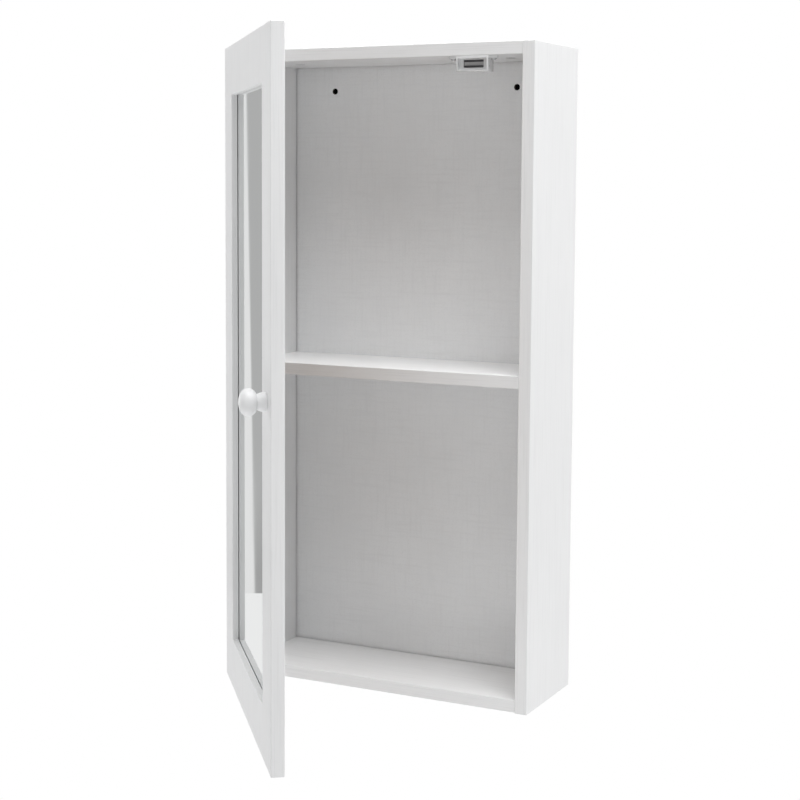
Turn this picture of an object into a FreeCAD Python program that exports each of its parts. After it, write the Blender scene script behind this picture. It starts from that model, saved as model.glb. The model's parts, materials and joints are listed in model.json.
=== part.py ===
import FreeCAD, Part
import math
import os

# All sizes are in millimetres. The cabinet is drawn from the lower left front corner of its
# carcass: x to the right, y to the back, z up. The door is drawn closed and then swung open.

# Carcass boards
carcass_width = 327.0
carcass_depth = 117.0
carcass_height = 650.0
board = 12.5
bottom_lift = 0.8          # the bottom panel stands this far above the side panels' ends
board_arris = 0.6          # radius of the softened board edges
shelf_underside = 319.0

# Back panel, let into grooves
back_thickness = 3.0
back_setback = 11.0        # from the back panel's rear face to the wall
groove_slack = 1.5         # open part of the groove in front of the back panel
groove_depth = 4.0
groove_end_play = 0.5
wall_hole_radius = 3.25
wall_hole_spacing = 208.0
wall_hole_drop = 37.8      # below the carcass top

# Cam and dowel joints between the side panels and the three flat boards
cam_radius = 6.0
cam_height = 10.5
cam_from_side = 33.0       # cam centre from the side panel's inner face
cam_recess = 0.2
cam_driver_slot = (6.4, 1.2, 1.6)     # length, width and depth of each arm of the cross
bolt_thread_radius = 2.5
bolt_thread_length = 8.5
bolt_bore_radius = 3.3
bolt_socket_radius = 3.1
bolt_head_end = 35.0       # from the side panel's inner face
dowel_radius = 3.0
dowel_length = 25.0
dowel_in_side = 8.0
dowel_end_play = 0.5
dowel_chamfer = 0.6
dowel_from_front = 20.0
dowel_from_back = 20.0
bore_clearance = 0.05

# Door, one routed board with a rebate at the back for the mirror
door_width = 325.7
door_height = 654.0
door_thickness = 12.5
door_edge_inset = 1.3      # from the carcass's left face, door shut
door_gap = 2.2             # between the shut door and the carcass
door_drop = 2.0            # the door hangs below the carcass
door_arris = 1.0
opening_arris = 0.8
stile_width = 53.0
rail_width = 49.5
rebate_depth = 6.5
rebate_ledge = 8.0
rest_opening = 51.5        # degrees, the door's angle at rest

# Mirror pack
mirror_thickness = 3.0
mirror_play = 1.0
mirror_arris = 0.4
backing_thickness = 3.0
clip_length = 18.0
clip_width = 11.0
clip_thickness = 1.2
clip_reach = 7.0           # how far a clip lies over the mirror's backing
clip_stile_places = (0.125, 0.375, 0.625, 0.875)
clip_rail_places = (0.25, 0.75)

# Butt hinges, with the knuckles let in flush with the side panel
hinge_length = 38.0
hinge_from_end = 95.0
hinge_axis_x = 2.0
knuckle_radius = 2.0
knuckle_bore_radius = 1.05
knuckle_count = 5
knuckle_gap = 0.3
knuckle_clearance = 0.3
knuckle_notch_radius = 2.4
knuckle_notch_margin = 1.2
pin_radius = 1.0
pin_head_radius = 1.7
pin_head_height = 0.8
leaf_thickness = 1.0
leaf_width = 9.5
leaf_screw_offset = 5.6    # from the hinge axis
leaf_screw_spacing = 24.0

# Screws: head radius, head height, shank radius, length under the head
leaf_screw = (2.4, 1.0, 1.4, 9.0)
clip_screw = (2.6, 1.2, 1.4, 8.0)
catch_screw = (2.7, 1.7, 1.4, 10.6)
strike_screw_size = (2.4, 1.1, 1.4, 8.0)
screw_tip = 2.2            # length of the tapered tip
screw_cross = (0.7, 0.6)   # arm width and depth of the cross recess

# Knob and its machine screw
knob_from_free_edge = 24.9
knob_height = 328.0        # above the door's lower edge
knob_length = 24.8
knob_head_radius = 12.35
knob_head_height = 16.2    # where the head is widest
knob_front_curve = (7.0, 56.0)        # radius and angle of the head's rim, towards the dome
knob_back_curve = (7.8, 72.0)         # the same towards the waist
knob_foot = ((8.1, 6.0), (8.5, 1.2), (7.9, 0))    # radius and height of the foot's outline
knob_bore_radius = 2.05
knob_bore_depth = 12.0
knob_screw_radius = 2.0
knob_screw_head_radius = 4.0
knob_screw_head_height = 1.8
knob_screw_length = 22.0
knob_hole_radius = 2.3

# Magnetic catch under the top panel, and its strike plate on the door. The magnet and its two
# pole plates float in the housing, and the strike plate pulls them forward.
catch_centre_x = 262.6
catch_body = (33.2, 14.0, 15.2)       # width, depth and height
catch_ear = (8.6, 7.0, 2.8)           # width, depth and height
catch_ear_front = 1.0
catch_arris = 0.5
catch_rim = 1.3            # thickness of the housing's walls at its mouth
catch_roof = 2.7
catch_mouth_depth = 4.2
catch_slot_size = (3.4, 4.6)          # width and length of each ear's slot
pole_width = 20.0
pole_depth = 8.7
pole_thickness = 1.5
pole_spacing = 5.2
pole_upper_drop = 5.1      # from the top panel's underside to the upper pole plate's middle
pole_set_back = 3.5        # of the plates' front edges, at rest
pole_play = 0.3
magnet_set_back = 1.2      # behind the plates' front edges
magnet_depth = 7.0
strike_size = (32.0, 1.2, 12.0)
strike_arris = 0.5

inner_height_top = carcass_height - board
inner_right = carcass_width - board
back_front_y = carcass_depth - back_setback - back_thickness
door_back_y = -door_gap
hinge_axis_y = -door_gap / 2
door_left_x = door_edge_inset
door_bottom_z = -door_drop
dowel_rows = (dowel_from_front, back_front_y - dowel_from_back)
cam_row = back_front_y / 2
flat_board_levels = (bottom_lift, shelf_underside, inner_height_top)
hinge_centres = (hinge_from_end, carcass_height - hinge_from_end)
pole_levels = (
    inner_height_top - pole_upper_drop,
    inner_height_top - pole_upper_drop - pole_spacing,
)
strike_centre_z = sum(pole_levels) / 2
to_mount_frame = FreeCAD.Vector(
    -carcass_width / 2,
    back_setback - carcass_depth,
    wall_hole_drop - carcass_height,
)


def block(low, high):
    size = [b - a for a, b in zip(low, high)]
    return Part.makeBox(*size, FreeCAD.Vector(*low))


def rod(radius, start, direction, length):
    return Part.makeCylinder(radius, length, FreeCAD.Vector(*start), FreeCAD.Vector(*direction))


def softened(solid, radius):
    return solid.makeFillet(radius, solid.Edges)


def turned(outline, start, direction):
    """Spin an outline of (radius, distance) points about a line from start along direction."""
    points = [FreeCAD.Vector(radius, 0, along) for radius, along in outline]
    face = Part.Face(Part.makePolygon(points + points[:1]))
    solid = face.revolve(FreeCAD.Vector(0, 0, 0), FreeCAD.Vector(0, 0, 1), 360)
    turn = FreeCAD.Rotation(FreeCAD.Vector(0, 0, 1), FreeCAD.Vector(*direction))
    solid.Placement = FreeCAD.Placement(FreeCAD.Vector(*start), turn)
    return solid


def cross_recess(length, width, depth, start, direction):
    """Two crossed slots sunk from start along direction."""
    first = Part.makeBox(length, width, depth, FreeCAD.Vector(-length / 2, -width / 2, 0))
    second = Part.makeBox(width, length, depth, FreeCAD.Vector(-width / 2, -length / 2, 0))
    cross = first.fuse(second)
    turn = FreeCAD.Rotation(FreeCAD.Vector(0, 0, 1), FreeCAD.Vector(*direction))
    cross.Placement = FreeCAD.Placement(FreeCAD.Vector(*start), turn)
    return cross


def screw(size, start, direction, countersunk):
    """A screw whose head seat is at start and whose shank runs along direction."""
    head_radius, head_height, shank_radius, length = size
    if countersunk:
        head = [(0, 0), (head_radius, 0), (shank_radius, head_height)]
        head_top = 0
    else:
        crown = head_radius * 0.6
        head = [(0, -head_height), (crown, -head_height), (head_radius, -head_height / 2), (head_radius, 0)]
        head.append((shank_radius, 0))
        head_top = -head_height
    shank = [(shank_radius, length - screw_tip), (0.2, length), (0, length)]
    solid = turned(head + shank, start, direction)
    place = [a + head_top * b for a, b in zip(start, direction)]
    width, depth = screw_cross
    return solid.cut(cross_recess(head_radius * 1.1, width, depth, place, direction))


def pilot(size, start, direction):
    return rod(size[2] + bore_clearance, start, direction, size[3] + bore_clearance)


def cam_joints():
    """Each side panel's inner face and the direction from it into the cabinet, at each board."""
    for level in flat_board_levels:
        for face_x, inward in ((board, 1), (inner_right, -1)):
            yield level, face_x, inward


def side_panel(left):
    low_x = 0 if left else inner_right
    face_x = board if left else inner_right
    outward = -1 if left else 1
    panel = softened(block((low_x, 0, 0), (low_x + board, carcass_depth, carcass_height)), board_arris)
    groove_low = min(face_x, face_x + outward * groove_depth)
    groove = block(
        (groove_low, back_front_y - groove_slack, bottom_lift + board - groove_depth),
        (groove_low + groove_depth, back_front_y + back_thickness, inner_height_top + groove_depth),
    )
    panel = panel.cut(groove)
    direction = (outward, 0, 0)
    for level in flat_board_levels:
        middle = level + board / 2
        thread_bore = bolt_thread_radius + bore_clearance
        panel = panel.cut(rod(thread_bore, (face_x, cam_row, middle), direction, bolt_thread_length))
        for row in dowel_rows:
            depth = dowel_in_side + dowel_end_play
            panel = panel.cut(rod(dowel_radius + bore_clearance, (face_x, row, middle), direction, depth))
    if left:
        for centre in hinge_centres:
            panel = panel.cut(knuckle_notch(centre))
            for place in leaf_screw_places(centre, 0):
                panel = panel.cut(pilot(leaf_screw, place, (0, 1, 0)))
    return panel


def flat_board(level, depth):
    """A board between the side panels, bored at both ends for cams, bolts and dowels."""
    panel = softened(block((board, 0, level), (inner_right, depth, level + board)), board_arris)
    middle = level + board / 2
    in_board = dowel_length - dowel_in_side + dowel_end_play
    for face_x, inward in ((board, 1), (inner_right, -1)):
        direction = (inward, 0, 0)
        cam_x = face_x + inward * cam_from_side
        cam_hole = rod(
            cam_radius + bore_clearance, (cam_x, cam_row, level), (0, 0, 1), cam_height + cam_recess
        )
        panel = panel.cut(cam_hole)
        panel = panel.cut(rod(bolt_bore_radius, (face_x, cam_row, middle), direction, cam_from_side))
        for row in dowel_rows:
            panel = panel.cut(rod(dowel_radius + bore_clearance, (face_x, row, middle), direction, in_board))
    return panel


def back_groove(low_z, high_z):
    return block(
        (board, back_front_y - groove_slack, low_z),
        (inner_right, back_front_y + back_thickness, high_z),
    )


def top_panel():
    panel = flat_board(inner_height_top, carcass_depth)
    panel = panel.cut(back_groove(inner_height_top, inner_height_top + groove_depth))
    for place in catch_screw_places():
        panel = panel.cut(pilot(catch_screw, place, (0, 0, 1)))
    return panel


def bottom_panel():
    top_z = bottom_lift + board
    return flat_board(bottom_lift, carcass_depth).cut(back_groove(top_z - groove_depth, top_z))


def shelf():
    return flat_board(shelf_underside, back_front_y)


def back_panel():
    overlap = groove_depth - groove_end_play
    panel = block(
        (board - overlap, back_front_y, bottom_lift + board - overlap),
        (inner_right + overlap, back_front_y + back_thickness, inner_height_top + overlap),
    )
    for side in (-1, 1):
        hole_x = carcass_width / 2 + side * wall_hole_spacing / 2
        hole_z = carcass_height - wall_hole_drop
        panel = panel.cut(rod(wall_hole_radius, (hole_x, back_front_y, hole_z), (0, 1, 0), back_thickness))
    return panel


def cam_discs():
    discs = []
    for level, face_x, inward in cam_joints():
        cam_x = face_x + inward * cam_from_side
        base = level + cam_recess
        disc = rod(cam_radius, (cam_x, cam_row, base), (0, 0, 1), cam_height)
        socket_length = cam_radius + bolt_head_end + 1.0 - cam_from_side
        socket_start = (face_x + inward * (cam_from_side - cam_radius), cam_row, level + board / 2)
        disc = disc.cut(rod(bolt_socket_radius, socket_start, (inward, 0, 0), socket_length))
        length, width, depth = cam_driver_slot
        disc = disc.cut(cross_recess(length, width, depth, (cam_x, cam_row, base), (0, 0, 1)))
        discs.append(disc)
    return Part.Compound(discs)


def cam_bolts():
    thread_end = -bolt_thread_length
    outline = [
        (0, thread_end),
        (1.2, thread_end),
        (bolt_thread_radius, thread_end + 1.5),
        (bolt_thread_radius, 0),
        (3.0, 0),
        (3.0, 1.2),
        (2.0, 1.2),
        (2.0, bolt_head_end - 8.0),
        (1.5, bolt_head_end - 7.0),
        (1.5, bolt_head_end - 4.5),
        (2.8, bolt_head_end - 3.5),
        (2.8, bolt_head_end - 1.0),
        (1.8, bolt_head_end),
        (0, bolt_head_end),
    ]
    bolts = []
    for level, face_x, inward in cam_joints():
        bolts.append(turned(outline, (face_x, cam_row, level + board / 2), (inward, 0, 0)))
    return Part.Compound(bolts)


def carcass_dowels():
    outline = [
        (0, 0),
        (dowel_radius - dowel_chamfer, 0),
        (dowel_radius, dowel_chamfer),
        (dowel_radius, dowel_length - dowel_chamfer),
        (dowel_radius - dowel_chamfer, dowel_length),
        (0, dowel_length),
    ]
    dowels = []
    for level, face_x, inward in cam_joints():
        for row in dowel_rows:
            start = (face_x - inward * dowel_in_side, row, level + board / 2)
            dowels.append(turned(outline, start, (inward, 0, 0)))
    return Part.Compound(dowels)


def knuckle_notch(centre):
    length = hinge_length + 2 * knuckle_notch_margin
    return rod(knuckle_notch_radius, (hinge_axis_x, hinge_axis_y, centre - length / 2), (0, 0, 1), length)


def leaf_screw_places(centre, seat_y):
    for side in (-1, 1):
        yield hinge_axis_x + leaf_screw_offset, seat_y, centre + side * leaf_screw_spacing / 2


def hinge_leaf(centre, outer_y, inner_y, facing, first_knuckle):
    """A flat plate with rolled knuckles; facing is the y direction that the screw heads look."""
    low_z = centre - hinge_length / 2
    low_y = min(outer_y, inner_y)
    plate_x = hinge_axis_x + knuckle_radius + knuckle_clearance
    leaf = block(
        (plate_x, low_y, low_z),
        (hinge_axis_x + leaf_width, low_y + leaf_thickness, low_z + hinge_length),
    )
    pitch = hinge_length / knuckle_count
    for number in range(first_knuckle, knuckle_count, 2):
        start_z = low_z + number * pitch + knuckle_gap / 2
        length = pitch - knuckle_gap
        knuckle = rod(knuckle_radius, (hinge_axis_x, hinge_axis_y, start_z), (0, 0, 1), length)
        bridge = block(
            (hinge_axis_x + knuckle_bore_radius, low_y, start_z),
            (plate_x, low_y + leaf_thickness, start_z + length),
        )
        leaf = leaf.fuse(knuckle.fuse(bridge))
    bore = rod(knuckle_bore_radius, (hinge_axis_x, hinge_axis_y, low_z), (0, 0, 1), hinge_length)
    leaf = leaf.removeSplitter().cut(bore)
    head_radius, head_height, shank_radius, _ = leaf_screw
    cone = [
        (0, 0),
        (head_radius + bore_clearance, 0),
        (shank_radius + bore_clearance, head_height),
        (0, head_height),
    ]
    for place in leaf_screw_places(centre, outer_y):
        leaf = leaf.cut(turned(cone, place, (0, -facing, 0)))
    return leaf


def cabinet_leaf(centre):
    return hinge_leaf(centre, -leaf_thickness, 0, -1, 0)


def door_leaf(centre):
    return hinge_leaf(centre, door_back_y + leaf_thickness, door_back_y, 1, 1)


def hinge_pin(centre):
    low = -hinge_length / 2
    outline = [
        (0, low - pin_head_height),
        (pin_head_radius, low - pin_head_height),
        (pin_head_radius, low),
        (pin_radius, low),
        (pin_radius, -low),
        (pin_head_radius, -low),
        (pin_head_radius, pin_head_height - low),
        (0, pin_head_height - low),
    ]
    return turned(outline, (hinge_axis_x, hinge_axis_y, centre), (0, 0, 1))


def hinge_screws(seat_y, along_y):
    screws = []
    for centre in hinge_centres:
        for place in leaf_screw_places(centre, seat_y):
            screws.append(screw(leaf_screw, place, (0, along_y, 0), True))
    return Part.Compound(screws)


def door_box(left, right, bottom, top, back, front):
    """A block in the door's own measures: from its hinge edge, lower edge and back face."""
    return block(
        (door_left_x + left, door_back_y - front, door_bottom_z + bottom),
        (door_left_x + right, door_back_y - back, door_bottom_z + top),
    )


def door_point(across, up, depth):
    return door_left_x + across, door_back_y - depth, door_bottom_z + up


def opening_arris_edges(frame):
    """The edges of the routed opening in the door's front face."""
    front_y = door_back_y - door_thickness
    picked = []
    for edge in frame.Edges:
        box = edge.BoundBox
        in_front = abs(box.YMin - front_y) < 0.01 and abs(box.YMax - front_y) < 0.01
        inside = box.XMin > door_left_x + stile_width - 0.1 and box.ZMin > door_bottom_z + rail_width - 0.1
        if in_front and inside and box.ZMax < door_bottom_z + door_height - rail_width + 0.1:
            picked.append(edge)
    return picked


def door_frame():
    frame = softened(door_box(0, door_width, 0, door_height, 0, door_thickness), door_arris)
    opening = door_box(
        stile_width, door_width - stile_width, rail_width, door_height - rail_width, 0, door_thickness
    )
    ledge = rebate_ledge
    rebate = door_box(
        stile_width - ledge,
        door_width - stile_width + ledge,
        rail_width - ledge,
        door_height - rail_width + ledge,
        0,
        rebate_depth,
    )
    frame = frame.cut(opening)
    frame = frame.makeFillet(opening_arris, opening_arris_edges(frame))
    frame = frame.cut(rebate)
    for centre in hinge_centres:
        frame = frame.cut(knuckle_notch(centre))
        for place in leaf_screw_places(centre, door_back_y):
            frame = frame.cut(pilot(leaf_screw, place, (0, -1, 0)))
    for place, _ in clip_places():
        frame = frame.cut(pilot(clip_screw, place, (0, -1, 0)))
    frame = frame.cut(pilot(strike_screw_size, strike_place(), (0, -1, 0)))
    return frame.cut(rod(knob_hole_radius, knob_place(0), (0, -1, 0), door_thickness))


def mirror_sheet(back, front):
    edge = stile_width - rebate_ledge + mirror_play
    rise = rail_width - rebate_ledge + mirror_play
    return door_box(edge, door_width - edge, rise, door_height - rise, back, front)


def mirror_glass():
    front = rebate_depth
    return softened(mirror_sheet(front - mirror_thickness, front), mirror_arris)


def mirror_backing():
    front = rebate_depth - mirror_thickness
    return mirror_sheet(front - backing_thickness, front)


def clip_places():
    """Each clip's screw place on the door's back, and the direction from it to the mirror."""
    screw_back = rebate_ledge - clip_reach + clip_length / 2
    left = stile_width - screw_back
    low = rail_width - screw_back
    for share in clip_stile_places:
        up = door_height * share
        yield door_point(left, up, 0), (1, 0)
        yield door_point(door_width - left, up, 0), (-1, 0)
    for share in clip_rail_places:
        across = stile_width + (door_width - 2 * stile_width) * share
        yield door_point(across, low, 0), (0, 1)
        yield door_point(across, door_height - low, 0), (0, -1)


def mirror_clip(place, towards):
    """A flat tab with a foot that bears on the mirror's backing."""
    x, y, z = place
    foot_drop = rebate_depth - mirror_thickness - backing_thickness
    half = clip_width / 2
    tail = clip_length / 3
    tip = clip_length - tail
    foot = clip_reach - rebate_depth / 2
    tab = block((-tail, 0, -half), (tip, clip_thickness, half))
    corner_edges = [edge for edge in tab.Edges if abs(edge.Length - clip_thickness) < 0.01]
    tab = tab.makeFillet(clip_width / 4, corner_edges)
    pad = block((tip - foot, -foot_drop, -half / 2), (tip - foot / 3, 0, half / 2))
    clip = tab.fuse(pad)
    clip = clip.cut(rod(clip_screw[2] + 0.2, (0, 0, 0), (0, 1, 0), clip_thickness))
    angle = math.degrees(math.atan2(towards[1], towards[0]))
    clip.rotate(FreeCAD.Vector(0, 0, 0), FreeCAD.Vector(0, -1, 0), angle)
    clip.translate(FreeCAD.Vector(x, y, z))
    return clip


def mirror_clips():
    return Part.Compound([mirror_clip(place, towards) for place, towards in clip_places()])


def mirror_clip_screws():
    screws = []
    for (x, y, z), _ in clip_places():
        screws.append(screw(clip_screw, (x, y + clip_thickness, z), (0, -1, 0), False))
    return Part.Compound(screws)


def knob_place(depth):
    return door_point(door_width - knob_from_free_edge, knob_height, depth)


def knob():
    """A turned mushroom knob: a round foot, a waist and a domed head, bored for its screw."""
    widest = FreeCAD.Vector(knob_head_radius, 0, knob_head_height)
    top = FreeCAD.Vector(0, 0, knob_length)

    def round_from_widest(curve, share, towards):
        radius, angle = curve
        turn_by = math.radians(angle * share)
        inward = radius * (1 - math.cos(turn_by))
        return widest + FreeCAD.Vector(-inward, 0, towards * radius * math.sin(turn_by))

    rim = round_from_widest(knob_front_curve, 1, 1)
    waist = round_from_widest(knob_back_curve, 1, -1)
    rise = knob_length - rim.z
    dome_radius = (rim.x ** 2 + rise ** 2) / (2 * rise)
    half_angle = math.asin(rim.x / dome_radius) / 2
    dome_drop = dome_radius * (1 - math.cos(half_angle))
    dome_middle = FreeCAD.Vector(dome_radius * math.sin(half_angle), 0, knob_length - dome_drop)
    foot_middle, foot_edge, foot_base = [FreeCAD.Vector(radius, 0, height) for radius, height in knob_foot]
    inner = Part.makePolygon([
        top,
        FreeCAD.Vector(0, 0, knob_bore_depth),
        FreeCAD.Vector(knob_bore_radius, 0, knob_bore_depth),
        FreeCAD.Vector(knob_bore_radius, 0, 0),
        foot_base,
        foot_edge,
    ])
    outer = [
        Part.Arc(foot_edge, foot_middle, waist).toShape(),
        Part.Arc(waist, round_from_widest(knob_back_curve, 0.5, -1), widest).toShape(),
        Part.Arc(widest, round_from_widest(knob_front_curve, 0.5, 1), rim).toShape(),
        Part.Arc(rim, dome_middle, top).toShape(),
    ]
    face = Part.Face(Part.Wire(inner.Edges + outer))
    solid = face.revolve(FreeCAD.Vector(0, 0, 0), FreeCAD.Vector(0, 0, 1), 360)
    turn = FreeCAD.Rotation(FreeCAD.Vector(0, 0, 1), FreeCAD.Vector(0, -1, 0))
    solid.Placement = FreeCAD.Placement(FreeCAD.Vector(*knob_place(door_thickness)), turn)
    return solid


def knob_screw():
    size = (knob_screw_head_radius, knob_screw_head_height, knob_screw_radius, knob_screw_length)
    return screw(size, knob_place(0), (0, -1, 0), False)


def catch_screw_places():
    """Where the catch's screws enter the underside of the top panel."""
    width = catch_body[0] / 2 + catch_ear[0] / 2
    for side in (-1, 1):
        yield catch_centre_x + side * width, catch_ear_front + catch_ear[1] / 2, inner_height_top


def catch_housing():
    width, depth, height = catch_body
    ear_width, ear_depth, ear_height = catch_ear
    left = catch_centre_x - width / 2
    body = block(
        (left, 0, inner_height_top - height),
        (left + width, depth, inner_height_top),
    )
    housing = softened(body, catch_arris)
    ears = block(
        (left - ear_width, catch_ear_front, inner_height_top - ear_height),
        (left + width + ear_width, catch_ear_front + ear_depth, inner_height_top),
    )
    ear_corners = [edge for edge in ears.Edges if abs(edge.Length - ear_height) < 0.01]
    housing = housing.fuse(ears.makeFillet(ear_depth * 0.45, ear_corners))
    for x, y, z in catch_screw_places():
        slot_width, slot_length = catch_slot_size
        run = (slot_length - slot_width) / 2
        start_z = z - ear_height
        slot = block((x - slot_width / 2, y - run, start_z), (x + slot_width / 2, y + run, z))
        for end in (-run, run):
            slot = slot.fuse(rod(slot_width / 2, (x, y + end, start_z), (0, 0, 1), ear_height))
        housing = housing.cut(slot)
    mouth = block(
        (left + catch_rim, 0, inner_height_top - height + catch_rim),
        (left + width - catch_rim, catch_mouth_depth, inner_height_top - catch_roof),
    )
    return housing.cut(mouth).cut(magnet_pocket())


def magnet_pocket():
    upper, lower = pole_levels
    half_width = pole_width / 2 + pole_play
    half_thickness = pole_thickness / 2 + pole_play
    return block(
        (catch_centre_x - half_width, 0, lower - half_thickness),
        (catch_centre_x + half_width, pole_set_back + pole_depth + pole_play, upper + half_thickness),
    )


def pole_block(level):
    half_width = pole_width / 2
    half_thickness = pole_thickness / 2
    return block(
        (catch_centre_x - half_width, pole_set_back, level - half_thickness),
        (catch_centre_x + half_width, pole_set_back + pole_depth, level + half_thickness),
    )


def catch_pole_plates():
    return Part.Compound([pole_block(level) for level in pole_levels])


def catch_magnet():
    upper, lower = pole_levels
    half_width = pole_width / 2
    front = pole_set_back + magnet_set_back
    return block(
        (catch_centre_x - half_width, front, lower + pole_thickness / 2),
        (catch_centre_x + half_width, front + magnet_depth, upper - pole_thickness / 2),
    )


def catch_screws():
    screws = []
    for x, y, z in catch_screw_places():
        screws.append(screw(catch_screw, (x, y, z - catch_ear[2]), (0, 0, 1), False))
    return Part.Compound(screws)


def strike_place():
    return catch_centre_x, door_back_y, strike_centre_z


def strike_plate():
    width, thickness, height = strike_size
    x, y, z = strike_place()
    plate = block((x - width / 2, y, z - height / 2), (x + width / 2, y + thickness, z + height / 2))
    corner_edges = [edge for edge in plate.Edges if abs(edge.Length - thickness) < 0.01]
    plate = plate.makeFillet(strike_arris * 3, corner_edges)
    head_radius, head_height, shank_radius, _ = strike_screw_size
    cone = [
        (0, 0),
        (head_radius + bore_clearance, 0),
        (shank_radius + bore_clearance, head_height),
        (shank_radius + bore_clearance, thickness),
        (0, thickness),
    ]
    return plate.cut(turned(cone, (x, y + thickness, z), (0, -1, 0)))


def strike_screw():
    x, y, z = strike_place()
    return screw(strike_screw_size, (x, y + strike_size[1], z), (0, -1, 0), True)


def swung_open(shape):
    axis = FreeCAD.Vector(hinge_axis_x, hinge_axis_y, 0)
    shape = shape.copy()
    shape.rotate(axis, FreeCAD.Vector(0, 0, -1), rest_opening)
    return shape


def save(name, shape):
    shape = shape.copy()
    shape.translate(to_mount_frame)
    shape.exportStep("parts/" + name + ".step")
    print(name, len(shape.Solids), "solid(s)", round(shape.Volume / 1000, 2), "cm3", shape.isValid())


os.makedirs("parts", exist_ok=True)

lower_hinge, upper_hinge = hinge_centres

cabinet_nodes = {
    "left_side_panel": side_panel(True),
    "right_side_panel": side_panel(False),
    "top_panel": top_panel(),
    "bottom_panel": bottom_panel(),
    "shelf": shelf(),
    "back_panel": back_panel(),
    "cam_discs": cam_discs(),
    "cam_bolts": cam_bolts(),
    "carcass_dowels": carcass_dowels(),
    "upper_hinge_cabinet_leaf": cabinet_leaf(upper_hinge),
    "lower_hinge_cabinet_leaf": cabinet_leaf(lower_hinge),
    "upper_hinge_pin": hinge_pin(upper_hinge),
    "lower_hinge_pin": hinge_pin(lower_hinge),
    "hinge_cabinet_screws": hinge_screws(-leaf_thickness, 1),
    "catch_housing": catch_housing(),
    "catch_magnet": catch_magnet(),
    "catch_pole_plates": catch_pole_plates(),
    "catch_screws": catch_screws(),
}

door_nodes = {
    "door_frame": door_frame(),
    "mirror_glass": mirror_glass(),
    "mirror_backing": mirror_backing(),
    "mirror_clips": mirror_clips(),
    "mirror_clip_screws": mirror_clip_screws(),
    "upper_hinge_door_leaf": door_leaf(upper_hinge),
    "lower_hinge_door_leaf": door_leaf(lower_hinge),
    "hinge_door_screws": hinge_screws(door_back_y + leaf_thickness, -1),
    "knob": knob(),
    "knob_screw": knob_screw(),
    "strike_plate": strike_plate(),
    "strike_screw": strike_screw(),
}

for node_name, node_shape in cabinet_nodes.items():
    save(node_name, node_shape)
for node_name, node_shape in door_nodes.items():
    save(node_name, swung_open(node_shape))
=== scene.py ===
import json
import math
import bmesh
import bpy
from mathutils import Matrix, Vector


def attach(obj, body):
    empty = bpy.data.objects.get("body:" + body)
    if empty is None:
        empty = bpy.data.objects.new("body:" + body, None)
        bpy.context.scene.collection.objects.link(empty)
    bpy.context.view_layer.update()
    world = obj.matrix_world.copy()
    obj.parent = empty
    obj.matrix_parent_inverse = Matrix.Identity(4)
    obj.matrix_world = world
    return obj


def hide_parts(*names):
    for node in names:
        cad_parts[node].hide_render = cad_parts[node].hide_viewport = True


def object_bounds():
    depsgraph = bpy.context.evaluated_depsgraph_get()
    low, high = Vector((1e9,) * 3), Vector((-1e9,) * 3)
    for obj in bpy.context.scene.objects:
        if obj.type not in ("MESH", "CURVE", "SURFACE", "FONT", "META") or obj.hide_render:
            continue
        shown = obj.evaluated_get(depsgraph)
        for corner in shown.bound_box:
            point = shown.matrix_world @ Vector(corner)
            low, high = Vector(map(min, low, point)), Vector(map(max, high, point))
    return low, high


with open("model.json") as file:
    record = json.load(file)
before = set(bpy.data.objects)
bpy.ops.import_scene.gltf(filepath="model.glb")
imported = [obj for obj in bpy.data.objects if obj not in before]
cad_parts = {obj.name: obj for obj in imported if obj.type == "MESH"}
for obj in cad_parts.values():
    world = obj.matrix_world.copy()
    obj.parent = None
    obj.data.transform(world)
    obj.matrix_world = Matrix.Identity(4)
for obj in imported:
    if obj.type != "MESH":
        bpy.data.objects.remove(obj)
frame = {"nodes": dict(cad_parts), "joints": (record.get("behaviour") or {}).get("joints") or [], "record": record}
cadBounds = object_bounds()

mm = 0.001

# The door is stored open. Its pieces are made on the shut door and swung out at the end.
doorHinge = next(joint for joint in frame["joints"] if joint["name"] == "door_hinge")
hingePlace = Vector(doorHinge["pos_m"])
openAngle = math.radians(-doorHinge["range_deg"][0])
fromHinge, toHinge = Matrix.Translation(hingePlace), Matrix.Translation(-hingePlace)
swingOut = fromHinge @ Matrix.Rotation(-openAngle, 4, "Z") @ toHinge
swingShut = swingOut.inverted()
stayPut = Matrix.Identity(4)


# Picking, shaping and placing pieces

def pickOnly(piece):
    bpy.ops.object.select_all(action="DESELECT")
    piece.select_set(True)
    bpy.context.view_layer.objects.active = piece


def stopEditing():
    bpy.ops.object.mode_set(mode="OBJECT")


def editFaces(piece, wanted):
    # wanted(middle, normal) says whether a face is picked
    pickOnly(piece)
    bpy.ops.object.mode_set(mode="EDIT")
    bpy.ops.mesh.select_mode(type="FACE")
    bpy.ops.mesh.select_all(action="DESELECT")
    stopEditing()
    for face in piece.data.polygons:
        face.select = wanted(face.center, face.normal)
    bpy.ops.object.mode_set(mode="EDIT")


def editEdges(piece, wanted):
    # wanted(oneEnd, otherEnd) says whether an edge is picked
    pickOnly(piece)
    bpy.ops.object.mode_set(mode="EDIT")
    bpy.ops.mesh.select_mode(type="EDGE")
    bpy.ops.mesh.select_all(action="DESELECT")
    stopEditing()
    points = piece.data.vertices
    for edge in piece.data.edges:
        edge.select = wanted(points[edge.vertices[0]].co, points[edge.vertices[1]].co)
    bpy.ops.object.mode_set(mode="EDIT")


def settle(piece, turn=stayPut):
    # place and turn go into the mesh, and the object stays at the origin
    piece.matrix_world = turn @ piece.matrix_world
    pickOnly(piece)
    bpy.ops.object.transform_apply(location=True, rotation=True, scale=True)


def smoothOver(piece, degrees=32):
    pickOnly(piece)
    bpy.ops.object.shade_smooth_by_angle(angle=math.radians(degrees))


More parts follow.
